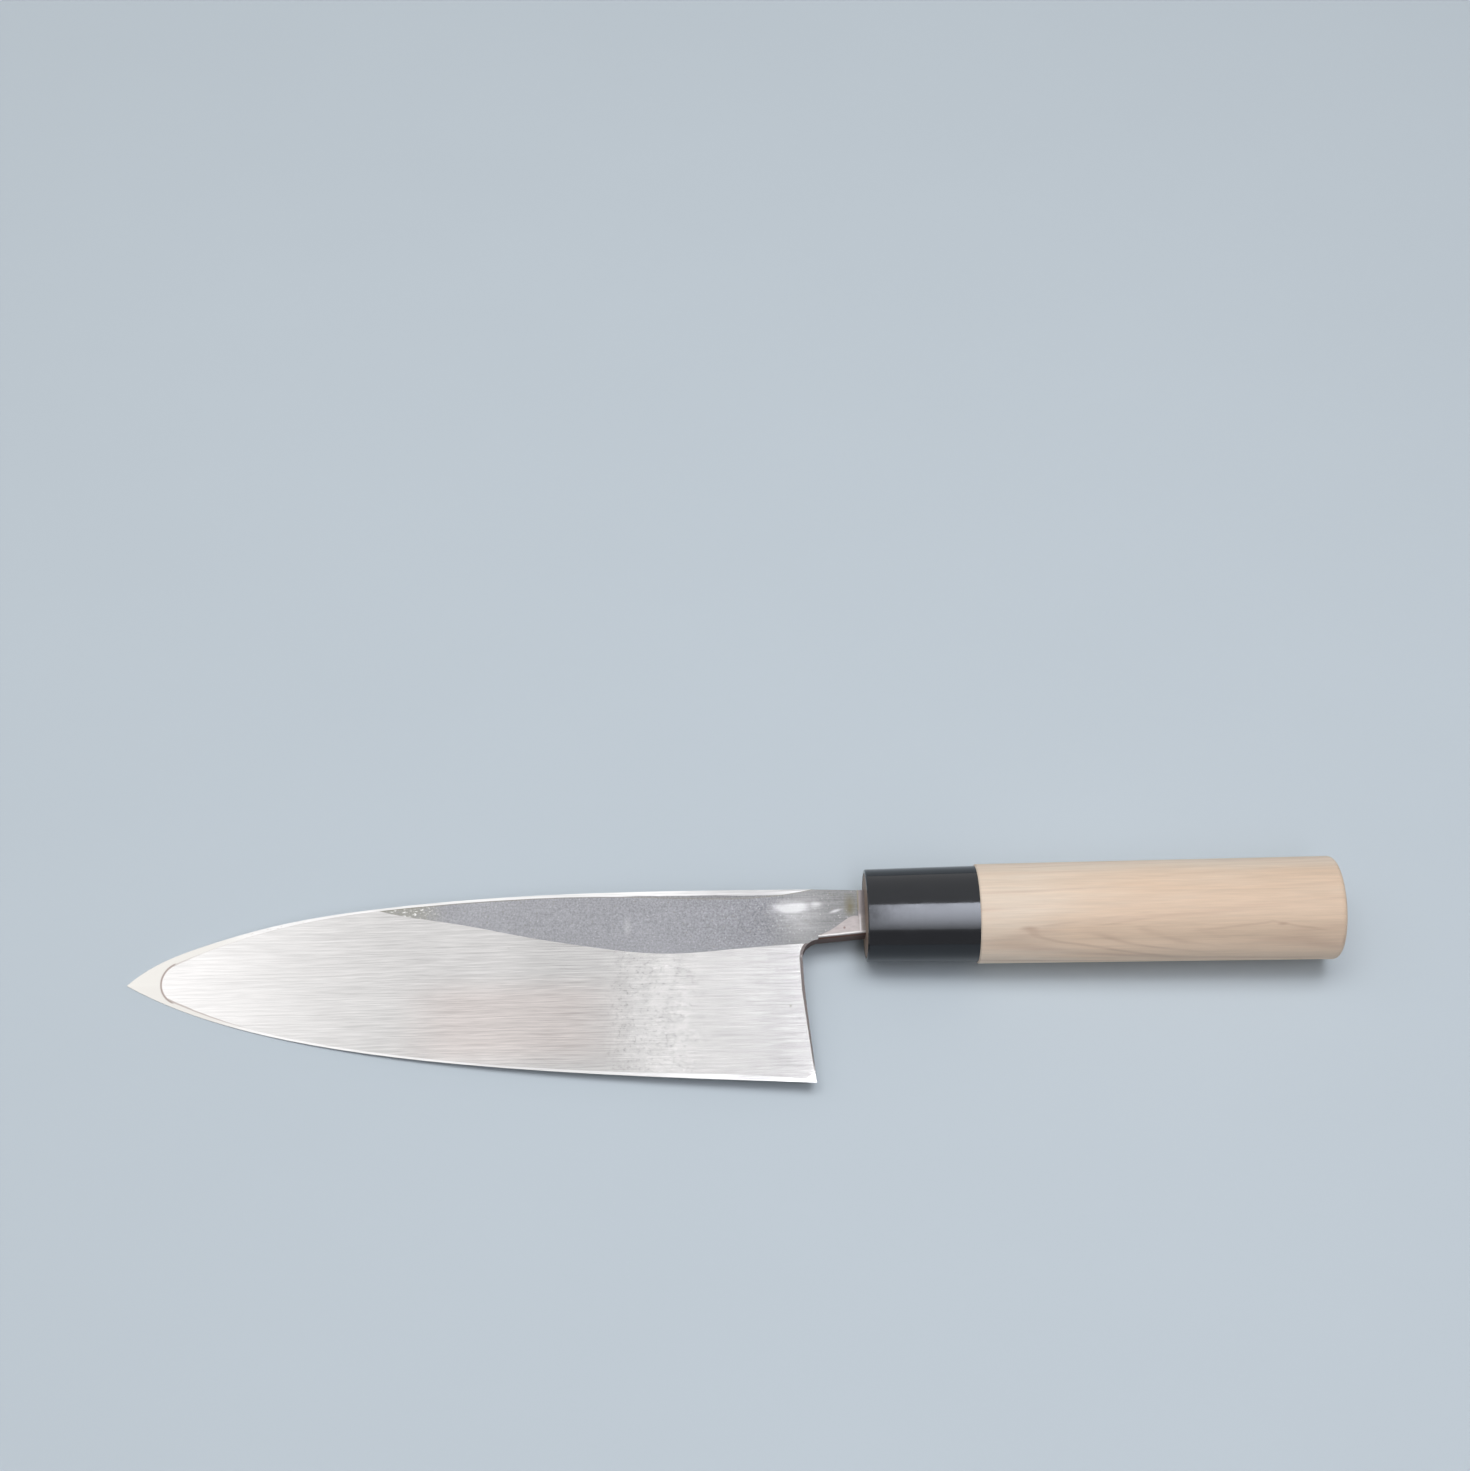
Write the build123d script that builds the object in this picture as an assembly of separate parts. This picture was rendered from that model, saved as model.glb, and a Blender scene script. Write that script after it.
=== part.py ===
"""Deba knife, a right-handed single-bevel kitchen knife, lying on a table with its hollow back up.

Millimetres. +X runs along the handle towards its butt, +Y towards the spine and +Z up from the table.
The origin is on the table, under the middle of the whole knife.

Two frames are used while the pieces are made. The handle frame has its X axis along the middle of the
handle and its origin in the ferrule's mouth. The blade frame has its XY plane on the flat rim of the
blade's back, above the handle's axis, and droops towards the point. At the end all pieces are turned
together into the pose in which the knife lies still.
"""
from math import cos, degrees, pi, radians, sin, tan
import os

from build123d import *

# Blade outline, seen from the back, point to the left
blade_length = 178.7  # heel corner to point, along the handle
blade_height = 50.45  # spine down to the heel corner
heel_reach = 14.0  # heel corner in front of the ferrule's mouth
heel_lean = 2.75  # how far the top of the heel lies in front of its corner
heel_bow = 0.5  # how far the heel is drawn in from a straight line
heel_bow_share = 0.65  # of the heel's height up from its corner, where it is drawn in most
heel_bow_run_share = 0.0967  # of the heel's length, over which it bends on each side of that place
spine_rise = 7.3  # spine above the handle's axis, over the heel
point_drop_share = 0.423  # of the blade's height, spine down to the point
# Each pair is a share of the blade's length from the heel and of its height down from the spine
edge_shares = ((0.238, 0.951), (0.467, 0.884), (0.669, 0.789), (0.816, 0.677), (0.935, 0.535))
spine_shares = ((0.965, 0.333), (0.888, 0.222), (0.778, 0.119), (0.645, 0.051), (0.468, 0.005), (0.248, -0.010))

# Neck, between the heel and the ferrule
neck_height = 11.4  # at the ferrule's mouth
neck_top = 6.6  # above the handle's axis, at the ferrule's mouth
notch_depth = 13.65  # spine down to the corner where heel and neck meet
notch_radius = 4.6
back_ease = 0.6  # flat taken off the back's corner along neck and notch
heel_ease_shares = 0.8, 0.1  # of that flat, left halfway down the heel and at its corner
front_ease = 0.4  # flat taken off the front's corner along neck, notch and heel

# Blade thickness and the bevel on the front
neck_thickness = 5.65  # over the heel, where the blade is thickest
mouth_thickness = 5.4  # at the ferrule's mouth
point_thickness = 1.7  # where the flat of the front would reach the point
edge_land = 0.12  # thickness left at the cutting edge
heel_bevel = 27.0  # edge to shinogi line at the heel
point_bevel = 20.0  # the same at the point
bevel_stations = 7

# Hollow of the back, ground on a wheel, and the flat rim left round it
wheel_radius = 450.0
spine_rim = 1.7  # where it is widest, above the heel
edge_rim = 1.15  # the same, beside the heel
heel_rim_share = 0.6  # of the edge's rim, left at the heel itself
rim_runout = 11.0  # in front of the heel's corner, where the spine's rim starts to narrow
rim_runout_rise = 3.0  # how far above the spine the hollow's side has climbed at the mouth
# Stations of the hollow: share of the length from the heel, then shares of spine_rim and edge_rim left there
hollow_shares = (
    (0.965, 1.0, 0.95), (0.90, 0.95, 0.9), (0.82, 0.6, 0.52), (0.71, 0.34, 0.43),
    (0.57, 0.32, 0.43), (0.40, 0.4, 0.45), (0.23, 0.85, 0.78),
)
nose_reach = 9.0  # front end of the hollow behind the point
nose_depth = 3.5  # length of its rounded end
nose_rise = 5.5  # its round's upper end, above the point
nose_fall = 4.7  # its round's lower end, below the point
heel_flat_length = 6.5  # flat corner left at the heel, along the edge
heel_flat_height = 7.5
patch_strip = 1.8  # unground strip of the neck against the ferrule
# The patch's edge, as shares of the heel's reach from the mouth and of the neck's height from its top
patch_shares = ((0.88, 1.02), (0.71, 0.945), (0.55, 0.83), (0.39, 0.69), (0.23, 0.59))

# Steel layer of the laminated blade
steel_thickness = 1.5
steel_scarf = 1.2  # slope of the layer's upper side, over its thickness
# The seam on the back, as shares of the blade's length from the heel and of its height from the spine
seam_shares = (
    (0.662, 0.025), (0.624, 0.066), (0.512, 0.137), (0.424, 0.202), (0.336, 0.258),
    (0.206, 0.311), (0.118, 0.297), (0.032, 0.278), (-0.023, 0.268),
)

# Handle and ferrule, oval, as half widths across the blade's plane and through it
handle_length = 121.0
ferrule_length = 28.5
ferrule_mouth = (12.05, 10.9)
ferrule_back = (12.5, 11.32)
ferrule_wall = 0.9
ferrule_fit = 0.05  # glue line between ferrule and tenon
mouth_ease = 0.25
grip_front = (12.9, 11.68)
grip_butt = (13.36, 12.12)
grip_ease = 0.3
butt_round = 1.6

# Tang and its bedding, inside the handle
back_rise = 0.5  # blade's back rim above the handle's axis, at the mouth
blade_droop = 1.6  # degrees between the blade's back and the handle's axis
tang_length = 92.0
tang_root = 4.0  # run of the tang inside the neck
tang_mouth_size = (9.6, 4.2)
tang_mouth_place = (0.9, -2.3)
tang_end_size = (4.5, 2.5)
tang_end_place = (0.4, -1.2)
bedding = 0.4  # thickness of resin round the tang
bedding_end = 2.0  # resin beyond the tang's end

# Densities in grams per cubic millimetre, for finding how the knife lies
steel_density = 0.00785
wood_density = 0.0006
plastic_density = 0.0011

overrun = 2.0  # how far cutting shapes run past what they cut
mesh_tolerance = 0.02
point_reach = heel_reach + blade_length


def along(share):
    """X in the blade frame, at a share of the blade's length from the heel."""
    return -heel_reach - share * blade_length


def down(share):
    """Y in the blade frame, at a share of the blade's height below the spine."""
    return spine_rise - share * blade_height


def outline_points(shares):
    return [Vector(along(a), down(d)) for a, d in shares]


heel = Vector(along(0), down(1))
point = Vector(along(1), down(point_drop_share))
notch = Vector(-heel_reach - heel_lean, spine_rise - notch_depth)
heel_bend = heel + (notch - heel) * heel_bow_share - Vector(heel_bow, 0)
heel_turn = radians((notch - heel_bend).get_angle(heel_bend - heel))
heel_bow_radius = (notch - heel).length * heel_bow_run_share / tan(heel_turn / 2)
neck_end = Vector(overrun, neck_top), Vector(overrun, neck_top - neck_height)
edge_curve = Spline(heel, *outline_points(edge_shares), point)
spine_curve = Spline(point, *outline_points(spine_shares), (-heel_reach, spine_rise))


def curve_y(curve, x):
    """Height of an outline curve at a place along the blade, by halving the interval."""
    low, high = (0, 1) if curve.position_at(0).X < curve.position_at(1).X else (1, 0)
    for _ in range(40):
        middle = (low + high) / 2
        if curve.position_at(middle).X < x:
            low = middle
        else:
            high = middle
    return curve.position_at(low).Y


def front_slope():
    return (neck_thickness - point_thickness) / (point_reach + notch.X)


def front_depth(x):
    """Depth of the front's flat below the back, which tapers towards the point."""
    return neck_thickness + front_slope() * (x - notch.X)


def upright(face, top, bottom):
    """Prism over a flat outline, from one height to another."""
    return Pos(0, 0, bottom) * extrude(face, top - bottom, dir=(0, 0, 1))


def polygon(*points):
    return Face(Wire.make_polygon([Vector(p) for p in points]))


def lower_outline(inset=0):
    """Line along neck, notch and heel, moved into the blade by an inset that fades down the heel."""
    middle, corner = heel_ease_shares
    return FilletPolyline(
        neck_end[1] + Vector(0, inset),
        notch + Vector(-inset, inset),
        heel_bend - Vector(inset * middle, 0),
        heel - Vector(inset * corner, 0),
        radius=[notch_radius + inset, heel_bow_radius],
    )


def blade_plate():
    """Plate with the knife's outline and its tapers in thickness, with its corners eased."""
    upper = Line(spine_curve.position_at(1), neck_end[0])
    face = Face(Wire([edge_curve, spine_curve, upper, Line(*neck_end)] + lower_outline().edges()))
    plate = upright(face, 0, -neck_thickness - overrun)
    deepest = Vector(notch.X, 0, -neck_thickness)
    plate = split(plate, bisect_by=Plane(origin=deepest, z_dir=(front_slope(), 0, 1)), keep=Keep.TOP)
    front = plate.faces().sort_by(Axis.Z)[0].edges()
    plate = chamfer([e for e in front if e.center().X > notch.X - overrun and e.center().Y < 0], front_ease)
    narrowing = (neck_thickness - mouth_thickness) / notch.X
    plate = split(plate, bisect_by=Plane(origin=deepest, z_dir=(narrowing, 0, 1)), keep=Keep.TOP)
    return plate - back_ease_cutter()


def back_ease_cutter():
    """What is taken off the back's corner, wide along neck and notch and fading down the heel."""
    sections = []
    for step in (-2, 1):
        line = lower_outline(back_ease * (1 + step))
        start, end = line.position_at(0), line.position_at(1)
        down_far = Vector(end.X, end.Y - overrun)
        far = Vector(start.X + overrun, down_far.Y)
        rest = Polyline(end, down_far, far, Vector(far.X, start.Y), start)
        sections.append(Pos(0, 0, back_ease * step) * Face(Wire(line.edges() + rest.edges())))
    return loft(sections, ruled=True)


def bevel_cutter():
    """What the front's bevel takes away: a smooth body whose upper side runs from edge to shinogi."""
    floor = -2 * neck_thickness
    sections = []
    for i in range(-1, bevel_stations + 1):
        share = min(max(i / (bevel_stations - 1), 0), 1)
        tangent = edge_curve.tangent_at(share).normalized()
        inward = Vector(tangent.Y, -tangent.X)
        past = (-overrun if i < 0 else overrun if i == bevel_stations else 0) * 4
        start = edge_curve.position_at(share) + tangent * past
        width = heel_bevel + (point_bevel - heel_bevel) * share
        ridge = start + inward * width
        slope = (front_depth(ridge.X) - edge_land) / width
        outer = start - inward * overrun + Vector(0, 0, overrun * slope - edge_land)
        inner = ridge + inward * overrun + Vector(0, 0, -(width + overrun) * slope - edge_land)
        corners = outer, inner, Vector(inner.X, inner.Y, floor), Vector(outer.X, outer.Y, floor)
        sections.append(polygon(*corners))
    return loft(sections)


def hollow_cutter():
    """What the wheel grinds out of the back, between the rims, from the nose to the neck."""
    places = [(along(s), -a * spine_rim, b * edge_rim) for s, a, b in hollow_shares]
    places.append((-heel_reach - rim_runout, -spine_rim, edge_rim))
    places.append((-heel_reach, 0, heel_rim_share * edge_rim))
    places.append((overrun, rim_runout_rise, heel_rim_share * edge_rim))
    sections = []
    for x, gap, rim in places:
        high = curve_y(spine_curve, x) + gap
        low = curve_y(edge_curve, min(x, -heel_reach)) + rim
        half = (high - low) / 2
        depth = half * half / (2 * wheel_radius)
        arc = ThreePointArc((x, low, 0), (x, low + half, -depth), (x, high, 0))
        lid = Polyline((x, high, 0), (x, high, overrun), (x, low, overrun), (x, low, 0))
        sections.append(Face(Wire([arc] + lid.edges())))
    body = loft(sections)
    for flat in (nose_flat(), heel_flat(), neck_patch()):
        body = body - upright(flat, 2 * overrun, -2 * overrun)
    return body


def nose_flat():
    """Flat left at the point, in front of the hollow's rounded nose."""
    front = point + Vector(nose_reach, 0)
    high = front + Vector(nose_depth, nose_rise)
    low = front + Vector(nose_depth, -nose_fall)
    reach = Vector(0, blade_height)
    far = Vector(-nose_reach - nose_depth - overrun, 0)
    box = Polyline(high, high + reach, high + reach + far, low - reach + far, low - reach, low)
    return Face(Wire([ThreePointArc(low, front, high)] + box.edges()))


def heel_flat():
    """Flat corner left at the heel, where the hollow runs out short of the edge."""
    start = heel + Vector(-heel_flat_length, 0)
    end = heel + Vector(overrun, heel_flat_height)
    bend = heel + Vector(-heel_flat_length / 4, heel_flat_height / 4)
    return Face(Wire([
        ThreePointArc(start, bend, end),
        Line(end, heel + Vector(overrun, -overrun)),
        Line(heel + Vector(overrun, -overrun), heel + Vector(-heel_flat_length, -overrun)),
        Line(heel + Vector(-heel_flat_length, -overrun), start),
    ]))


def neck_patch():
    """Part of the neck that the grinding left, against the ferrule and along the lower side."""
    rim = [Vector(-a * heel_reach, neck_top - d * neck_height) for a, d in patch_shares]
    top = Vector(-patch_strip, rim[-1].Y)
    high = neck_top + 2 * overrun + rim_runout_rise
    low = rim[0].Y - overrun
    right = 2 * overrun
    return Face(Wire([
        Spline(*rim, top),
        *Polyline(top, (top.X, high), (right, high), (right, low), (rim[0].X, low), rim[0]).edges(),
    ]))


def steel_tool():
    """Space of the steel layer: below the seam on the back, and down to the layer's thickness."""
    def outline(z):
        shift = steel_scarf * z / steel_thickness
        seam = [p + Vector(0, shift, z) for p in outline_points(seam_shares)]
        left, right = -point_reach - overrun, seam[-1].X
        bottom, top = heel.Y - overrun, spine_rise + overrun
        frame = Polyline(seam[-1], (right, bottom, z), (left, bottom, z), (left, top, z), seam[0])
        return Face(Wire([Spline(*seam)] + frame.edges()))

    return loft([outline(-steel_thickness), outline(overrun)], ruled=True)


def oval(x, half_widths, inset=0):
    plane = Plane(origin=(x, 0, 0), x_dir=(0, 1, 0), z_dir=(1, 0, 0))
    return plane * Ellipse(half_widths[0] - inset, half_widths[1] - inset)


def oval_bar(start, start_widths, end, end_widths, inset=0):
    return loft([oval(start, start_widths, inset), oval(end, end_widths, inset)])


def flat_bar(start, end, grow=0):
    """Tapered flat bar along the tang's line, between two places, thicker all round by a growth."""
    sections = []
    for x in (start, end):
        share = max(x, 0) / tang_length
        size = [a + (b - a) * share + 2 * grow for a, b in zip(tang_mouth_size, tang_end_size)]
        place = [a + (b - a) * share for a, b in zip(tang_mouth_place, tang_end_place)]
        plane = Plane(origin=(x, *place), x_dir=(0, 1, 0), z_dir=(1, 0, 0))
        sections.append(plane * Rectangle(*size))
    return loft(sections, ruled=True)


def ends_at_x(solid, x, side):
    ordered = solid.edges().filter_by(GeomType.LINE, reverse=True).sort_by(Axis.X)
    edge = ordered[-1] if side > 0 else ordered[0]
    return [e for e in ordered if abs(e.center().X - edge.center().X) < mesh_tolerance]


def make_ferrule():
    outer = oval_bar(0, ferrule_mouth, ferrule_length, ferrule_back)
    outer = chamfer(ends_at_x(outer, 0, -1), mouth_ease)
    return outer - oval_bar(0, ferrule_mouth, ferrule_length, ferrule_back, ferrule_wall)


def make_handle(pocket):
    """Grip with its tenon, bored for the tang and its bedding."""
    grip = oval_bar(ferrule_length, grip_front, handle_length, grip_butt)
    grip = fillet(ends_at_x(grip, handle_length, 1), butt_round)
    grip = chamfer(ends_at_x(grip, ferrule_length, -1), grip_ease)
    inset = ferrule_wall + ferrule_fit
    tenon = oval_bar(0, ferrule_mouth, ferrule_length, ferrule_back, inset)
    return grip + tenon - pocket


def make_blade():
    """The two layers of the laminated blade, in the handle frame."""
    plate = blade_plate() - bevel_cutter() - hollow_cutter()
    to_handle = Pos(0, 0, back_rise) * Rot(0, -blade_droop, 0)
    tool = steel_tool()
    steel = to_handle * (plate & tool)
    iron = split(to_handle * (plate - tool), bisect_by=Plane.YZ, keep=Keep.BOTTOM)
    tang = flat_bar(-tang_root, 0) + flat_bar(0, tang_length)
    return steel, iron + tang


def lying_pose(pieces):
    """Roll and pitch, in degrees, at which the centre of mass is lowest over the table."""
    mass = sum(solid.volume * density for solid, density in pieces)
    centre = [0, 0, 0]
    points = []
    for solid, density in pieces:
        share = solid.volume * density / mass
        place = solid.center(CenterOf.MASS)
        centre = [c + share * p for c, p in zip(centre, place)]
        points += [tuple(p) for p in solid.tessellate(mesh_tolerance)[0]]

    def height(roll, pitch):
        up = sin(pitch), sin(roll) * cos(pitch), cos(roll) * cos(pitch)
        lowest = min(up[0] * x + up[1] * y + up[2] * z for x, y, z in points)
        return sum(u * c for u, c in zip(up, centre)) - lowest

    place, step = (0.0, 0.0), radians(4)
    while step > radians(0.001):
        tries = [(place[0] + step * cos(k * pi / 12), place[1] + step * sin(k * pi / 12)) for k in range(24)]
        best = min(tries, key=lambda t: height(*t))
        if height(*best) < height(*place):
            place = best
        else:
            step = step / 2
    return degrees(place[0]), degrees(place[1])


def main():
    pocket = flat_bar(0, tang_length + bedding_end, bedding)
    steel, iron = make_blade()
    handle = make_handle(pocket)
    ferrule = make_ferrule()
    bedding_block = pocket - flat_bar(0, tang_length)
    weighed = (
        (steel, steel_density), (iron, steel_density), (handle, wood_density),
        (ferrule, plastic_density), (bedding_block, plastic_density),
    )
    roll, pitch = lying_pose(weighed)
    print(f"lies rolled {roll:.2f} and pitched {pitch:.2f} degrees")
    turn = Rot(0, -pitch, 0) * Rot(roll, 0, 0)
    nodes = {
        "steel_face": turn * steel,
        "iron_blade_body": turn * iron,
        "ferrule": turn * ferrule,
        "handle": turn * handle,
        "tang_bedding": turn * bedding_block,
    }
    box = Compound(children=[n.solid() for n in nodes.values()]).bounding_box()
    centre = Pos(-box.center().X, -box.center().Y, -box.min.Z)
    os.makedirs("parts", exist_ok=True)
    for name, shape in nodes.items():
        export_step(centre * shape, f"parts/{name}.step")


main()
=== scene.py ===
"""Looks of a deba knife: brushed hard steel, matte soft iron, a glossy black ferrule and a pale wooden grip.

Metres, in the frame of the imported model. The operators dress the solids one after another and set the stage.
"""
import math

import bpy
from mathutils import Euler, Matrix, Vector

bl_info = {
    "name": "Deba Knife Looks",
    "version": (1, 0, 0),
    "blender": (4, 5, 0),
    "location": "View3D > Sidebar > Deba",
    "description": "Finishes for a single-bevel kitchen knife and the table that it lies on",
    "category": "Material",
}

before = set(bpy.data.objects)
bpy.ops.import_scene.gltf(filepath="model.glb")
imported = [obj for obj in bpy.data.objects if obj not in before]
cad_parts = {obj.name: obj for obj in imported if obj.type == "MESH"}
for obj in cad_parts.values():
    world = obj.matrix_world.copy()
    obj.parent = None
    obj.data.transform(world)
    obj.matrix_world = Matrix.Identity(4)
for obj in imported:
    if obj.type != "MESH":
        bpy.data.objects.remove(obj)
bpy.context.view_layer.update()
MM = 0.001

# How the knife lies: the middle of the ferrule's mouth, and the turns from the table's axes
MOUTH = Vector((35.6107, 14.7605, 11.047)) * MM
ROLL = math.radians(6.7923)
PITCH = math.radians(1.2941)
DROOP = math.radians(1.6)
BACK_RISE = 0.5 * MM

# How far a surface faces out of the back where it starts to count as the back or as the front, and is all of it
BACK_FACING = (0.9, 0.99)
FRONT_FACING = (-0.8, -0.95)

# How far a side faces the spine where it starts to count as facing the edge instead, and is all of it
EDGE_FACING = (0.2, -0.1)

# Places on the blade are in millimetres along it from the ferrule's mouth and up from the handle's axis.
# Heights above the plane of the back: where the hollow turns into the flat rims, and the line where it ends,
# painted as the shade of the hollow's step
RIM_LEVEL = (-0.006, -0.002)
HOLLOW_END = (-0.0035, 0.0015, 0.0025)
NOSE_CENTRE = (-178.23, -13.7)
NOSE_RADIUS = 5.47
HEEL_CURVE = (-11.94, -10.53)
HEEL_CURVE_RADIUS = 5.2

# Straight lines: the height at 0 and the slope. Those of the heel go up the blade, and the others go along it
HEEL_TOP = (-17.597, -0.043)
HEEL_LOW = (-18.949, -0.1133)
NECK_LINE = (-4.36, 0.08)
HONED_LIMIT = (5.53, -0.0187)

# Fields of the steel: the middle, the half sizes and the widths of the fade, each along the blade and up it
WASHED = ((-55.0, -25.0), (7.0, 13.0), (9.0, 9.0))
SMUDGE = ((-27.0, -14.0), (2.0, 5.0), (4.0, 5.0))
PINK_BLOOM = ((-92.0, -26.0), (13.0, 5.0), (21.0, 9.0))

# Stretches of the steel along the blade: the middle, the half length and the length of the fade. The dark and
# bright stretches are painted shade and a painted highlight for the hollow's reflection
PAINTED_DARK_STRETCH = (-72.0, 8.0, 18.0)
PAINTED_BRIGHT_STRETCH = (-46.0, 12.0, 12.0)
PAINTED_DARK_RIM = (-72.0, 16.0, 22.0)
CRUMBLY_RIM = (-152.0, 7.0, 6.0)

# The same for the fine lines across the neck by the ferrule: the painted shadow of a step, and a light bar
NECK_STEP = (-1.75, 0.12, 0.14)
GROUND_BAR = (-1.35, 0.12, 0.15)

# Steps in the tone of the iron: how much lighter it gets, and from where to where. The darker steps towards the
# heel and neck are painted shade
IRON_STEPS = ((-0.05, -85.0, -65.0), (-0.23, -60.0, -22.0), (-0.11, -16.0, -7.0), (0.12, -75.0, -105.0))

# Where something starts along the blade: there is none of it at the first place and all of it at the second
POINT_STARTS = (-155.0, -172.0)
IRON_STARTS = (-108.0, -118.0)
NECK_STARTS = (-28.0, -16.0)
PATCH_STARTS = (-13.2, -12.6)
STRIP_STARTS = (-1.9, -1.6)
FULL_RIM_STARTS = ((-58.0, -64.0), (-24.0, -20.0))

# Oval spots: the centre, and half the length and height
STEEL_SPECK = ((-20.0, -23.2), 0.55, 0.45)
IRON_GLINT = ((-61.8, -1.6), 1.6, 3.6)
BARE_SPOT = ((-19.4, 2.7), 6.5, 2.3)
BARE_HALO = ((-17.5, 0.5), 9.0, 7.0)
BARE_SECOND = ((-12.8, 3.0), 2.6, 1.7)
BARE_STREAK = ((-7.7, 3.33), 2.3, 0.6)
BARE_STREAK_SLOPE = 0.25
NECK_STAIN = ((-3.8, 2.8), 2.4, 4.2)

# Places on the grip, in millimetres: the heart of the tree that its wood comes from, and two tiny knots
HEART = (26.17, -30.18)
RING_SPACING = 2.3
RING_SLOPE = 0.0278
VEE_SPACING = 14.0
VEE_PHASE = 1.4
VEE_SLOPE = 1.2
VEE_BEND, VEE_BEND_POWER = 0.25, 2.6
VEE_UPPER_SLOPE = 8.0
KNOTS = (((40.6, -6.7), 3.4, 0.9), ((104.4, -6.7), 2.0, 0.6))
CREASE_TOP = (102.0, -6.2)
CREASE_SLOPES = (0.085, 0.17)
TENON_ENDS = (6.0, 4.0)
MOUTH_OVAL = (11.1, 9.95)

# Lamps: place of each in metres, the point that it faces, and its size
STRIP_BOX = ((0.151, -0.4525, 0.9), (0.151, -0.4525, 0), (0.17, 1.165))
SIDE_PANEL = ((-0.71, 0.2, 0.9), (-0.71, 0.2, 0), (0.7, 0.8))
OVERHEAD = ((-0.05, 0.3, 1.6), (0, 0, 0), (1.4, 0.6))

# The strip box fades from one share of its length to another, down to its weakest glow
STRIP_FADE = (1.095, -0.085)
STRIP_WEAKEST = 0.08
STRIP_COLOUR = (0.97, 0.98, 1.05)

# How far a view points to the low side of the room where it starts to be dark there, and is all dark
DARK_SIDE_VIEW = (0.7, 0.85)
TABLE_DROP = 0.05 * MM


def handle_axes():
    """The grip's own axes: along it, across it and through it."""
    return Euler((0, -PITCH, 0)).to_matrix() @ Euler((ROLL, 0, 0)).to_matrix()


def blade_axes():
    """The blade's own axes: along it, up to the spine and out of the back."""
    return handle_axes() @ Euler((0, -DROOP, 0)).to_matrix()


def blade_origin():
    return MOUTH + handle_axes() @ Vector((0, 0, BACK_RISE))


class Quantity:
    """A number that varies over a surface. Arithmetic on it adds Math nodes to its tree."""

    def __init__(self, nodes, socket):
        self.nodes = nodes
        self.socket = socket

    def maths(self, operation, *values):
        return self.nodes.number("ShaderNodeMath", 0, {"operation": operation}, dict(enumerate(values)))

    def __add__(self, other):
        return self.maths("ADD", self, other)

    __radd__ = __add__

    def __sub__(self, other):
        return self.maths("SUBTRACT", self, other)

    def __rsub__(self, other):
        return self.maths("SUBTRACT", other, self)

    def __mul__(self, other):
        return self.maths("MULTIPLY", self, other)

    __rmul__ = __mul__

    def __truediv__(self, other):
        return self.maths("DIVIDE", self, other)

    def __rtruediv__(self, other):
        return self.maths("DIVIDE", other, self)

    def __pow__(self, other):
        return self.maths("POWER", self, other)

    def __abs__(self):
        return self.maths("ABSOLUTE", self)

    def sine(self):
        return self.maths("SINE", self)

    def larger(self, other):
        return self.maths("MAXIMUM", self, other)

    def smaller(self, other):
        return self.maths("MINIMUM", self, other)

    def rise(self, low, high):
        """0 below low, 1 above high and a smooth rise between them. It falls where low is above high."""
        settings = {"interpolation_type": "SMOOTHSTEP"}
        sockets = {"Value": self, "From Min": low, "From Max": high}
        return self.nodes.number("ShaderNodeMapRange", "Result", settings, sockets)

    def band(self, middle, half_width, softness):
        """1 within half a width of a value, fading to 0 over the softness on both sides."""
        return abs(self - middle).rise(half_width + softness, half_width)


class Nodes:
    """A node tree in the making."""

    def __init__(self, tree):
        self.tree = tree
        tree.nodes.clear()

    def node(self, kind, settings, sockets):
        """Adds a node, sets its own settings first, and then fills its sockets or links them."""
        made = self.tree.nodes.new(kind)
        for name, value in settings.items():
            setattr(made, name, value)
        for key, value in sockets.items():
            self.feed(made.inputs[key], value)
        return made

    def feed(self, socket, value):
        if isinstance(value, Quantity):
            value = value.socket
        if isinstance(value, bpy.types.NodeSocket):
            self.tree.links.new(value, socket)
        elif socket.type == "RGBA":
            socket.default_value = (*value, 1)
        else:
            socket.default_value = value

    def number(self, kind, output, settings, sockets):
        """A node's output as a number to reckon with."""
        return Quantity(self, self.node(kind, settings, sockets).outputs[output])

    def vector(self, operation, a, b):
        return self.node("ShaderNodeVectorMath", {"operation": operation}, {0: a, 1: b}).outputs

    def along(self, vector, axis):
        """Part of a vector that lies along an axis."""
        return Quantity(self, self.vector("DOT_PRODUCT", vector, axis)["Value"])

    def join(self, x, y, z):
        return self.node("ShaderNodeCombineXYZ", {}, {"X": x, "Y": y, "Z": z}).outputs[0]

    def mix(self, share, a, b):
        """Colour a where the share is 0 and colour b where it is 1."""
        return self.node("ShaderNodeMix", {"data_type": "RGBA"}, {0: share, 6: a, 7: b}).outputs[2]

    def shade(self, colour, factor):
        """A colour made lighter or darker by a varying factor."""
        return self.vector("MULTIPLY", colour, self.join(factor, factor, factor))["Vector"]


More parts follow.
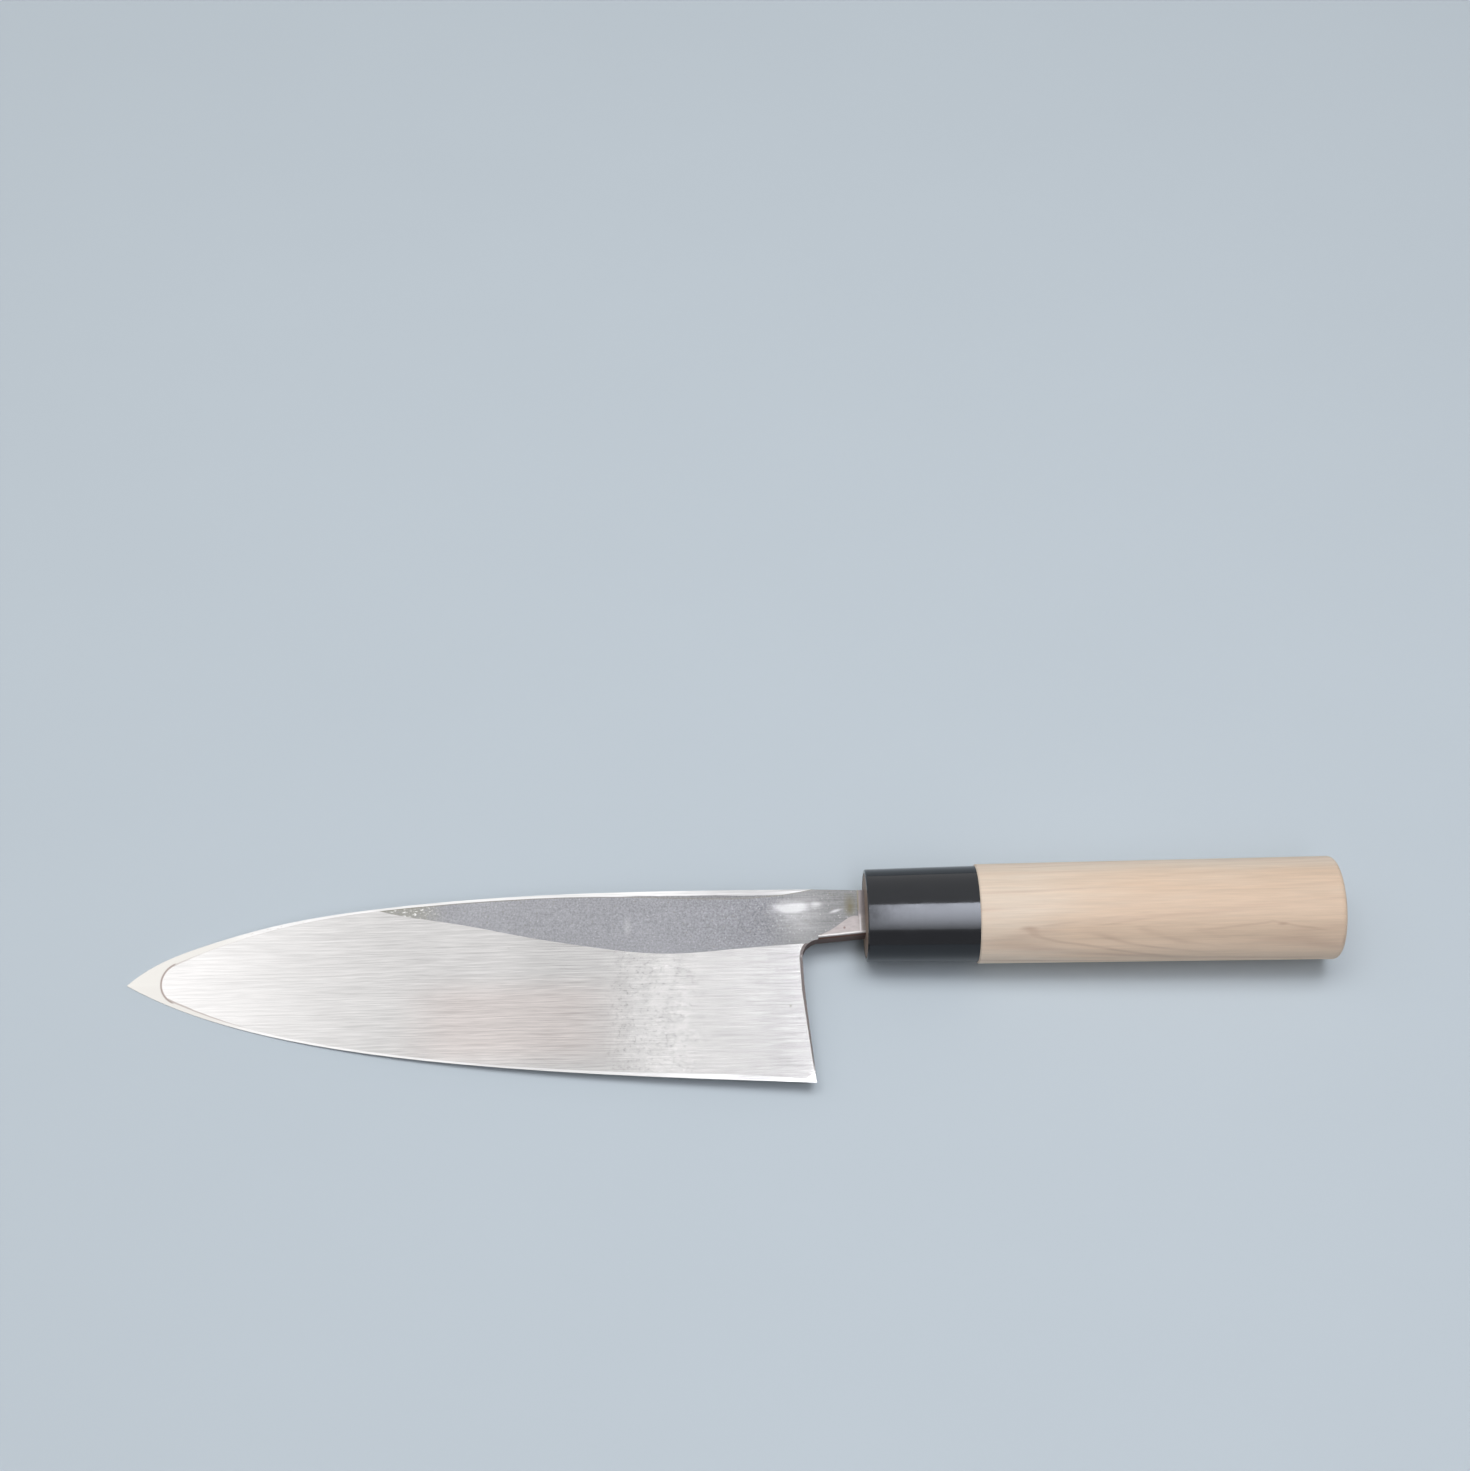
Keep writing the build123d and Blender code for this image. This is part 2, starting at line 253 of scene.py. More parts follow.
class Finish(Nodes):
    """A material in the making, with a Principled shader at its end."""

    def __init__(self, name, **constants):
        self.material = bpy.data.materials.new(name)
        self.material.use_nodes = True
        super().__init__(self.material.node_tree)
        self.shader = self.node("ShaderNodeBsdfPrincipled", {}, constants)
        self.node("ShaderNodeOutputMaterial", {}, {"Surface": self.shader.outputs[0]})

    def set(self, name, value):
        self.feed(self.shader.inputs[name], value)

    def surface(self, output):
        return self.node("ShaderNodeTexCoord", {}, {}).outputs[output]

    def local(self, origin, axes):
        """Position in millimetres along three axes from an origin."""
        offset = self.vector("SUBTRACT", self.surface("Object"), origin)["Vector"]
        return [self.along(offset, axes.col[i]) / MM for i in range(3)]

    def facing(self, axes):
        """How far the surface faces each of three axes, from -1 to 1."""
        normal = self.surface("Normal")
        return [self.along(normal, axes.col[i]) for i in range(3)]

    def noise(self, place, spacing, detail=2.0, roughness=0.5):
        """Cloudy noise round 0, mostly from -0.3 to 0.3, with a spacing in millimetres along each axis."""
        scaled = self.join(*[p / s for p, s in zip(place, spacing)])
        sockets = {"Vector": scaled, "Scale": 1.0, "Detail": detail, "Roughness": roughness}
        return self.number("ShaderNodeTexNoise", "Fac", {}, sockets) - 0.5

    def dots(self, place, spacing, size):
        """Scattered dots up to a size in millimetres, about a spacing apart: 1 in them and 0 outside."""
        scaled = self.join(*[p / spacing for p in place])
        distance = self.number("ShaderNodeTexVoronoi", "Distance", {}, {"Vector": scaled, "Scale": 1.0})
        return distance.rise(size / spacing, 0.5 * size / spacing)

    def bump(self, height, depth):
        """Relief of a depth in millimetres where the height goes from 0 to 1."""
        sockets = {"Strength": 1.0, "Distance": depth * MM, "Height": height}
        self.set("Normal", self.node("ShaderNodeBump", {}, sockets).outputs["Normal"])


def distance(x, y, centre):
    return ((x - centre[0]) ** 2 + (y - centre[1]) ** 2) ** 0.5


def past(x, y, line):
    """How far y is past a straight line that is given by its value at 0 and its slope along x."""
    return y - line[0] - line[1] * x


def spot(x, y, centre, width, height):
    """1 at a place, fading to 0 at the edge of an oval."""
    return distance(x / width, y / height, (centre[0] / width, centre[1] / height)).rise(1.0, 0.0)


def field(x, y, middle, half, fade):
    """1 inside a rectangle, fading to 0 outside it."""
    return x.band(middle[0], half[0], fade[0]) * y.band(middle[1], half[1], fade[1])


def hollow_back(z, up):
    """Where the surface is the back of the blade, and where it is the flat rim round the back's hollow."""
    back = up.rise(*BACK_FACING)
    return back, z.rise(*RIM_LEVEL) * back


def brushing(f, place):
    """Lines that the last grinding left along the blade, wavering a little, fine and broad ones added."""
    x, y, z = place
    waver = y + 1.5 * f.noise(place, (60.0, 30.0, 30.0))
    fine = f.noise((x, waver, z), (8.0, 0.28, 9.0), detail=1.0, roughness=0.6)
    long = f.noise((x, waver, z), (30.0, 0.5, 9.0), detail=1.0)
    return fine + 0.8 * long


def dress(node_name, finish):
    """Gives a solid of the frame its finish."""
    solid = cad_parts[node_name]
    if not solid.data.materials:
        solid.data.materials.append(None)
    for i in range(len(solid.data.materials)):
        solid.data.materials[i] = finish.material


class DEBA_OT_steel(bpy.types.Operator):
    """Brushed hard steel with honed flat rims and water marks"""

    bl_idname = "deba.steel"
    bl_label = "Hard Steel"

    def execute(self, context):
        looks = context.scene.deba_looks
        f = Finish("hard_steel_brushed", Metallic=1.0)
        place = f.local(blade_origin(), blade_axes())
        x, y, z = place
        ahead, spineward, up = f.facing(blade_axes())
        back, rim = hollow_back(z, up)
        lines = brushing(f, place)
        hollow_end = z.band(*HOLLOW_END)
        nose_line = self.nose_line(x, y, hollow_end) * back

        tone = self.ground_tone(f, place, lines) + self.water_marks(f, place)
        colour = f.mix(field(x, y, *PINK_BLOOM), looks.steel, looks.steel_warm)
        colour = f.shade(colour, tone)
        colour = f.mix(rim, colour, f.shade(looks.rim, self.rim_tone(x, y, lines)))
        colour = f.mix(rim * x.rise(*POINT_STARTS), colour, looks.rim_tip)
        # Painted shade of the hollow's step: a dark line round the point and a faint one along the hollow's
        # whole border
        colour = f.mix(nose_line.larger(0.16 * hollow_end * back), colour, looks.nose_line)
        crumbs = f.dots(place, 0.9, 0.24) * rim * x.band(*CRUMBLY_RIM) * y.rise(-14.0, -13.0)
        colour = f.mix(0.45 * crumbs, colour, looks.nose_line)
        # Painted shade line down the heel, where its eased side shows dark
        colour = f.mix(0.9 * self.heel_shade_line(x, y) * back, colour, looks.heel_shade)
        specks = (0.6 * spot(x, y, *STEEL_SPECK)).larger(0.25 * f.dots(place, 11.0, 0.35))
        colour = f.mix(specks * (1 - rim) * back, colour, looks.speck)

        # Painted shade: the sides facing the edge and the heel's eased edge are coloured dark, as they lie in
        # shade
        side = (1 - up.rise(0.4, 0.6) - up.rise(*FRONT_FACING)).larger(0)
        eased = up.rise(0.9, 0.8) * ahead.rise(0.2, 0.5) * z.rise(-0.1, -0.3).larger(y.rise(-9.0, -16.0))
        colour = f.mix((side * spineward.rise(*EDGE_FACING)).larger(eased), colour, looks.heel_shade)
        f.set("Base Color", colour)
        f.set("Roughness", 0.21 + 0.1 * rim + 0.06 * nose_line + 0.3 * side.larger(eased))
        f.bump(lines, 0.004)
        dress("steel_face", f)
        return {"FINISHED"}

    def ground_tone(self, f, place, lines):
        """Tone of the hollow: brushed lines, a painted darker and a painted brighter stretch for the hollow's
        reflection, and painted shade by the heel.
        """
        x, y, z = place
        depth = 0.3 + 0.18 * x.rise(-45.0, -75.0) - 0.16 * x.rise(-115.0, -160.0)
        dashes = f.noise(place, (4.0, 0.6, 1.0), detail=3.0, roughness=0.75) * x.rise(-56.0, -44.0)
        cloud = f.noise(place, (40.0, 18.0, 18.0))
        # Painted shade: darker towards the heel, where the strip box's reflection falls on the blade
        heel = 0.2 * x.rise(-58.0, -30.0) + x.rise(-30.0, -18.0) * (0.06 + 0.07 * y.rise(-34.0, -16.0))
        tone = 1.02 + depth * lines + 0.22 * dashes + 0.2 * cloud - heel
        # Painted shade and a painted highlight in stretches along the blade, for the hollow's reflection
        return tone - 0.12 * x.band(*PAINTED_DARK_STRETCH) + 0.09 * x.band(*PAINTED_BRIGHT_STRETCH)

    def water_marks(self, f, place):
        """Change of tone where water dried on the blade: small dark and light marks over soft blots."""
        x, y, z = place
        washed = field(x, y, *WASHED).larger(0.35 * field(x, y, *SMUDGE))
        marks = f.noise(place, (1.1, 0.9, 0.9), detail=3.0, roughness=0.75)
        blots = f.noise(place, (4.5, 4.5, 4.5))
        return washed * (0.1 * marks.rise(0.06, 0.2) - 0.24 * marks.rise(-0.02, -0.2) + 0.35 * blots)

    def rim_tone(self, x, y, lines):
        # Painted shade on the flat rims: darker towards the heel, over the dark stretch and in the inner corner
        # by the heel curve
        inner_corner_shade = x.band(-28.0, 4.0, 6.0) * y.rise(-42.1, -41.8)
        tone = 1 + 0.3 * lines - 0.12 * x.rise(-50.0, -20.0)
        return tone - 0.16 * x.band(*PAINTED_DARK_RIM) - 0.25 * inner_corner_shade

    def nose_line(self, x, y, hollow_end):
        """Fine dark line round the point, where the hollow runs out: painted shade of the small step there."""
        arc = abs(distance(x, y, NOSE_CENTRE) - NOSE_RADIUS).rise(0.4, 0.1) * x.rise(-179.6, -180.6)
        lower = hollow_end * y.rise(-13.0, -15.0) * x.rise(-155.0, -170.0)
        upper = hollow_end * y.rise(-15.0, -13.0) * x.rise(-168.0, -182.0)
        return arc.larger(0.75 * lower).larger(0.5 * upper)

    def heel_shade_line(self, x, y):
        """Painted shade line down the heel and round its curve, where the heel's eased side shows dark."""
        past_heel = past(y, x, HEEL_TOP).smaller(past(y, x, HEEL_LOW))
        straight = past_heel.rise(-0.3, -0.12) * y.rise(-42.5, -37.0) * y.rise(-9.8, -10.8)
        off_curve = distance(x, y, HEEL_CURVE) - HEEL_CURVE_RADIUS
        return straight.larger(off_curve.rise(0.22, 0.07) * y.rise(-10.8, -9.8))


class DEBA_OT_iron(bpy.types.Operator):
    """Soft iron, grey and speckled beside the spine, bare and stained at the neck"""

    bl_idname = "deba.iron"
    bl_label = "Soft Iron"

    def execute(self, context):
        looks = context.scene.deba_looks
        f = Finish("soft_iron_matte", Metallic=1.0)
        place = f.local(blade_origin(), blade_axes())
        x, y, z = place
        _, spineward, up = f.facing(blade_axes())
        back, rim = hollow_back(z, up)
        side = (1 - up.rise(0.8, 0.9) - up.rise(*FRONT_FACING)).larger(0)
        grit = f.noise(place, (0.5, 0.5, 0.5), roughness=0.6)
        cloud = f.noise(place, (16.0, 9.0, 9.0), detail=3.0)
        lines = brushing(f, place)
        patchy = f.noise(place, (5.0, 2.2, 3.0), detail=3.0)
        bare = self.bare_spots(x, y, 1 + 2.2 * patchy + 0.8 * lines)

        colour = self.skin(f, place, looks, grit, cloud, lines)
        colour = self.crusty_start(f, place, looks, up, colour)
        colour = f.mix(bare, colour, looks.rim)
        stain = spot(x, y, *NECK_STAIN) * (0.95 + 1.5 * patchy)
        colour = f.mix(stain, colour, f.shade(looks.stain, 0.62))
        # Painted shade of the hollow's step: a faint dark line along its border
        hollow_border_shade = z.band(-0.008, 0.004, 0.006) * back
        colour = f.mix(0.4 * hollow_border_shade, colour, looks.stain)
        # Painted shade on the honed rim: darker towards the heel
        honed_tone = 1 + 0.4 * lines - 0.38 * x.rise(-56.0, -32.0)
        colour = f.mix(rim * self.honed(f, place), colour, f.shade(looks.rim, honed_tone))
        colour = self.neck_patch(f, place, looks, back, rim, colour)
        # Painted shade: the neck's side and underside, facing the edge, are coloured dark as they show in shade
        under = side * spineward.rise(*EDGE_FACING)
        colour = f.mix(under, colour, f.shade(looks.neck_shade_and_pits, 1 + cloud))
        # Painted highlight along the arris over that dark side
        painted_arris_highlight = 0.6 * under * up.rise(0.4, 0.6) * z.rise(-0.3, -0.15)
        colour = f.mix(painted_arris_highlight, colour, looks.rim)
        f.set("Base Color", colour)
        f.set("Roughness", 0.42 - 0.11 * rim.larger(0.6 * bare) + 0.1 * side)
        f.bump(0.6 * grit + lines, 0.006)
        dress("iron_blade_body", f)
        return {"FINISHED"}

    def skin(self, f, place, looks, grit, cloud, lines):
        """Grey iron with grit, light flecks and dark pocks, smoother towards the neck and darker there with
        painted shade.
        """
        x, y, z = place
        near_neck = x.rise(*NECK_STARTS)
        tone = 1.0 + grit * (1.0 - 0.65 * near_neck) + 0.25 * cloud + lines * (0.15 + 0.15 * near_neck)
        for change, start, end in IRON_STEPS:
            tone = tone + change * x.rise(start, end)
        colour = f.shade(f.mix(near_neck, looks.iron, looks.iron_neck), tone)
        colour = f.mix(0.13 * f.dots(place, 1.3, 0.26), colour, looks.rim)
        return f.mix(0.25 * f.dots((y, x, z), 1.9, 0.3), colour, looks.stain)

    def crusty_start(self, f, place, looks, up, colour):
        """Yellowish crust with bright grains where the iron starts."""
        crust = f.noise(place, (0.9, 0.6, 0.6), detail=3.0, roughness=0.7)
        start = place[0].rise(*IRON_STARTS) * up.rise(0.5, 0.8)
        colour = f.mix(start * (0.45 + 1.2 * crust).larger(0), colour, looks.iron_crust)
        return f.mix(start * crust.rise(0.05, 0.16), colour, looks.rim)

    def bare_spots(self, x, y, ragged):
        """Share of bare bright metal over the neck, and of a faint painted glint farther along."""
        bare = (0.5 * spot(x, y, *BARE_SPOT) + 0.14 * spot(x, y, *BARE_HALO)) * ragged
        bare = bare.larger(0.26 * ragged * spot(x, y, *BARE_SECOND))
        bare = bare.larger(0.34 * spot(x, y - BARE_STREAK_SLOPE * x, *BARE_STREAK))
        # The glint is a painted highlight
        return bare.larger(0.16 * spot(x, y, *IRON_GLINT)).smaller(0.4)

    def honed(self, f, place):
        """Where the rim along the spine is honed bright. Its limit shows only over the middle of the blade."""
        x, y, z = place
        ragged_height = past(x, y, HONED_LIMIT) + 0.6 * f.noise(place, (7.0, 2.0, 2.0))
        honed = ragged_height.rise(-0.1, 0.15)
        for none, full in FULL_RIM_STARTS:
            honed = honed.larger(x.rise(none, full))
        return honed

    def neck_patch(self, f, place, looks, back, rim, colour):
        """Raised patch of the neck that wasn't ground, with a painted highlight along its edge, and the painted
        shadow of the step at the ferrule.
        """
        x, y, z = place
        patch = rim * x.rise(*PATCH_STARTS) * y.rise(7.0, 5.0).larger(x.rise(*STRIP_STARTS))
        worn = f.shade(looks.patch, 1 + 0.5 * f.noise(place, (2.5, 0.7, 1.0), detail=3.0))
        worn = f.mix(0.7 * f.dots(place, 2.6, 0.42), worn, looks.neck_shade_and_pits)
        # Painted highlight along the patch's edge
        patch_edge_highlight = past(x, y, NECK_LINE).rise(0.45, 0.2)
        ground_bar = x.band(*GROUND_BAR) * y.rise(0.8, 0.2)
        worn = f.mix((0.4 * patch_edge_highlight).larger(0.25 * ground_bar), worn, looks.rim)
        worn = f.mix(0.85 * y.rise(-0.8, 1.2), worn, looks.patch_top)
        colour = f.mix(patch, colour, worn)
        # Painted shadow of the step by the ferrule
        step = x.band(*NECK_STEP) * y.rise(0.8, 2.0) * back
        return f.mix(0.7 * step, colour, looks.stain)


class DEBA_OT_ferrule(bpy.types.Operator):
    """Glossy black ferrule with faint rubbing marks"""

    bl_idname = "deba.ferrule"
    bl_label = "Ferrule"

    def execute(self, context):
        looks = context.scene.deba_looks
        f = Finish("ferrule_gloss_black", **{"IOR": 1.53, "Specular Tint": (0.9, 0.94, 1.0)})
        place = f.local(MOUTH, handle_axes())
        smear = f.noise(place, (7.0, 4.0, 4.0), detail=4.0)
        scuff = f.noise(place, (0.5, 6.0, 6.0))
        f.set("Base Color", f.shade(looks.ferrule, 1 + 1.2 * smear))
        f.set("Roughness", 0.09 + 0.25 * smear.larger(0) + 0.08 * scuff.larger(0))
        f.bump(smear, 0.02)
        dress("ferrule", f)
        return {"FINISHED"}


class DEBA_OT_handle(bpy.types.Operator):
    """Pale wood with its grain along the grip and end grain at both ends"""

    bl_idname = "deba.handle"
    bl_label = "Handle"

    def execute(self, context):
        looks = context.scene.deba_looks
        f = Finish("magnolia_wood", Roughness=0.55)
        place = f.local(MOUTH, handle_axes())
        x, y, z = place
        ahead, across, through = f.facing(handle_axes())
        top = through.rise(0, 0.3)
        fibre = f.noise(place, (11.0, 0.5, 0.5), roughness=0.6)
        streak = f.noise(place, (34.0, 1.6, 1.6), detail=3.0)

        colour = f.mix(self.warmth(f, place, across), looks.wood, looks.wood_warm)
        near_edge = across.rise(-0.45, -0.75)
        strength = (0.1 + 0.32 * near_edge + 1.6 * streak).larger(0.04)
        colour = f.mix(self.rings(f, place) * strength, colour, looks.wood_grain)
        colour = f.mix(0.48 * self.vee_figure(f, place) * top, colour, looks.wood_grain)
        colour = f.mix(0.3 * self.crease(f, place) * top, colour, looks.wood_grain)
        knots = spot(x, y, *KNOTS[0]).larger(spot(x, y, *KNOTS[1])) * top
        colour = f.mix(0.65 * knots, colour, looks.wood_grain)
        # Painted light and shade on the near flank: a little darker where it turns down, lighter low down
        flank = 0.2 * across.rise(-0.6, -0.9) - 0.06 * across.rise(-0.2, -0.5)
        tone = 1.0 + 0.26 * fibre + 0.24 * streak + flank - 0.05 * x.rise(60.0, 110.0)
        colour = f.shade(colour, tone)

        end = abs(ahead).rise(0.75, 0.95)
        tenon = end * x.rise(*TENON_ENDS)
        colour = f.mix(0.35 * end, colour, looks.wood_grain)
        colour = f.mix(tenon, colour, f.shade(looks.end_grain, 1 + fibre))
        out = distance(y / MOUTH_OVAL[0], z / MOUTH_OVAL[1], (0, 0))
        colour = f.mix(tenon * out.rise(0.93, 0.99), colour, looks.resin)
        f.set("Base Color", colour)
        f.bump(fibre, 0.03)
        dress("handle", f)
        return {"FINISHED"}

    def warmth(self, f, place, across):
        """Share of the warmer wood: cloudy, more on the low flank as a painted tint of its shade, and along the
        top towards the butt.
        """
        warm = 0.6 * f.noise(place, (30.0, 7.0, 7.0)) + 0.5 * f.noise(place, (22.0, 1.8, 3.0), detail=3.0)
        # Painted tint of the shade: the low flank warmer
        shaded_flank_tint = 0.3 * across.rise(0.1, -0.7)
        to_butt = 0.75 * place[0].rise(35.0, 70.0) * across.rise(0.75, 0.45)
        return (0.18 + 1.6 * warm + shaded_flank_tint + to_butt).larger(0).smaller(1)

    def rings(self, f, place):
        """Thin dark lines where the surface cuts the tree's yearly rings."""
        x, y, z = place
        drift = f.noise(place, (60.0, 14.0, 14.0))
        depth = distance(y, z, HEART) + RING_SLOPE * x + 2.4 * drift
        return (0.5 + 0.5 * (depth * (2 * math.pi / RING_SPACING)).sine()) ** 6

    def vee_figure(self, f, place):
        """Nested V-shaped figure that opens from the first knot towards the butt."""
        x, y, z = place
        (knot_x, knot_y), *_ = KNOTS[0]
        below = (knot_y - y).larger(0)
        above = (y - knot_y).larger(0)
        lower_arm = VEE_SLOPE * below + VEE_BEND * below ** VEE_BEND_POWER
        vee = x - knot_x - lower_arm - VEE_UPPER_SLOPE * above
        vee = vee + 12.0 * f.noise(place, (26.0, 5.0, 5.0))
        nested = (0.5 + 0.5 * (vee * (2 * math.pi / VEE_SPACING) + VEE_PHASE).sine()) ** 5
        nested = nested * vee.rise(-3.0, 0.0) * x.rise(98.0, 62.0)
        nested = nested * (0.5 * y.rise(1.0, -6.0) + 0.5 * below.rise(0, 0.8))
        nested = nested * (0.6 + 3.2 * f.noise((y, x, z), (7.0, 13.0, 7.0), detail=1.0)).larger(0.15)
        first = vee.band(0.6, 0.4, 2.2) * x.rise(90.0, 55.0) * below.rise(0, 0.6)
        return nested.larger(0.75 * first)

    def crease(self, f, place):
        """Fine bent line through the second knot."""
        x, y, z = place
        before, after = (CREASE_TOP[0] - x).larger(0), (x - CREASE_TOP[0]).larger(0)
        off = y - CREASE_TOP[1] + CREASE_SLOPES[0] * before + CREASE_SLOPES[1] * after
        off = off + 0.8 * f.noise(place, (9.0, 6.0, 6.0))
        return abs(off).rise(0.4, 0.1) * x.band(99.0, 10.0, 10.0)


class DEBA_OT_bedding(bpy.types.Operator):
    """Dark resin round the tang"""

    bl_idname = "deba.bedding"
    bl_label = "Tang Bedding"

    def execute(self, context):
        looks = context.scene.deba_looks
        f = Finish("tang_resin", Roughness=0.5)
        place = f.local(MOUTH, handle_axes())
        f.set("Base Color", f.shade(looks.resin, 1 + f.noise(place, (3.0, 2.0, 2.0), detail=3.0)))
        dress("tang_bedding", f)
        return {"FINISHED"}


class DEBA_OT_stage(bpy.types.Operator):
    """Pale table, soft lamps and the camera above the knife"""

    bl_idname = "deba.stage"
    bl_label = "Table, Lamps and Camera"

    def execute(self, context):
        looks = context.scene.deba_looks
        self.lay_table(looks)
        self.light_world(context.scene, looks)
        strip = self.hang_lamp("strip_box", *STRIP_BOX, looks.strip_glow)
        self.fade_lamp(strip)
        self.hang_lamp("side_panel", *SIDE_PANEL, looks.panel_glow)
        overhead = self.hang_lamp("overhead_lamp", *OVERHEAD, looks.overhead_glow)
        overhead.visible_glossy = False
        self.place_camera(context.scene, looks)
        context.scene.view_settings.view_transform = "Standard"
        return {"FINISHED"}

    def lay_table(self, looks):
        """Lays the table a hair below the knife."""
        half = looks.table_width / 2
        mesh = bpy.data.meshes.new("table_top")
        corners = [(-half, -half, 0), (half, -half, 0), (half, half, 0), (-half, half, 0)]
        mesh.from_pydata(corners, [], [(0, 1, 2, 3)])
        table = bpy.data.objects.new("table_top", mesh)
        bpy.context.scene.collection.objects.link(table)
        table.location.z = -TABLE_DROP
        finish = Finish("table_paint", Roughness=0.8)
        place = finish.local(Vector((0, 0, 0)), Matrix.Identity(3))
        mottle = finish.noise(place, (90.0, 60.0, 60.0))
        finish.set("Base Color", finish.shade(looks.table, 1 + 0.03 * mottle))
        mesh.materials.append(finish.material)

    def light_world(self, scene, looks):
        """The room lights the knife with a soft fill. The camera and the metal see a plain pale backdrop.

        What shines sees the low side of the room before the table darker.
        """
        scene.world = bpy.data.worlds.new("studio")
        scene.world.use_nodes = True
        nodes = Nodes(scene.world.node_tree)
        path = nodes.node("ShaderNodeLightPath", {}, {}).outputs
        seen = Quantity(nodes, path["Is Camera Ray"]).larger(path["Is Glossy Ray"])
        seen = seen.larger(path["Is Transmission Ray"])
        fill = nodes.node("ShaderNodeBackground", {}, {"Color": looks.fill_light})
        backdrop = nodes.node("ShaderNodeBackground", {}, {"Color": looks.backdrop})
        dark_side = nodes.node("ShaderNodeBackground", {}, {"Color": looks.dark_side})
        mixed = nodes.node("ShaderNodeMixShader", {}, {0: seen, 1: fill.outputs[0], 2: backdrop.outputs[0]})
        view = nodes.node("ShaderNodeTexCoord", {}, {}).outputs["Generated"]
        low_front = nodes.along(view, (0, -1, 0)).rise(*DARK_SIDE_VIEW) * path["Is Glossy Ray"]
        ends = {0: low_front, 1: mixed.outputs[0], 2: dark_side.outputs[0]}
        mixed = nodes.node("ShaderNodeMixShader", {}, ends)
        nodes.node("ShaderNodeOutputWorld", {}, {"Surface": mixed.outputs[0]})

    def hang_lamp(self, name, place, aim, size, glow):
        """Flat soft lamp whose face glows so many times as bright as white paper in the room."""
        data = bpy.data.lights.new(name, "AREA")
        data.shape = "RECTANGLE"
        data.size, data.size_y = size
        data.energy = glow * math.pi * size[0] * size[1]
        lamp = bpy.data.objects.new(name, data)
        bpy.context.scene.collection.objects.link(lamp)
        lamp.location = place
        lamp.rotation_euler = (Vector(place) - Vector(aim)).to_track_quat("Z", "Y").to_euler()
        return lamp

    def fade_lamp(self, lamp):
        """Makes a lamp fade towards its near end, as a strip box does."""
        lamp.data.use_nodes = True
        nodes = Nodes(lamp.data.node_tree)
        place = nodes.node("ShaderNodeNewGeometry", {}, {}).outputs["Parametric"]
        share = nodes.along(place, (0, 1, 0))
        glow = STRIP_WEAKEST + (1 - STRIP_WEAKEST) * share.rise(*STRIP_FADE)
        sockets = {"Color": nodes.shade(STRIP_COLOUR, glow), "Strength": 1.0}
        emission = nodes.node("ShaderNodeEmission", {}, sockets)
        nodes.node("ShaderNodeOutputLight", {}, {"Surface": emission.outputs[0]})

    def place_camera(self, scene, looks):
        data = bpy.data.cameras.new("camera")
        data.lens = looks.camera_lens
        data.shift_x = looks.camera_shift
        data.clip_end = 100
        camera = bpy.data.objects.new("camera", data)
        scene.collection.objects.link(camera)
        camera.location = looks.camera_place
        camera.rotation_euler = looks.camera_turn
        scene.camera = camera


def colour(name, description, default):
    return bpy.props.FloatVectorProperty(
        name=name, description=description, default=default, size=3, min=0, max=1, subtype="COLOR"
    )


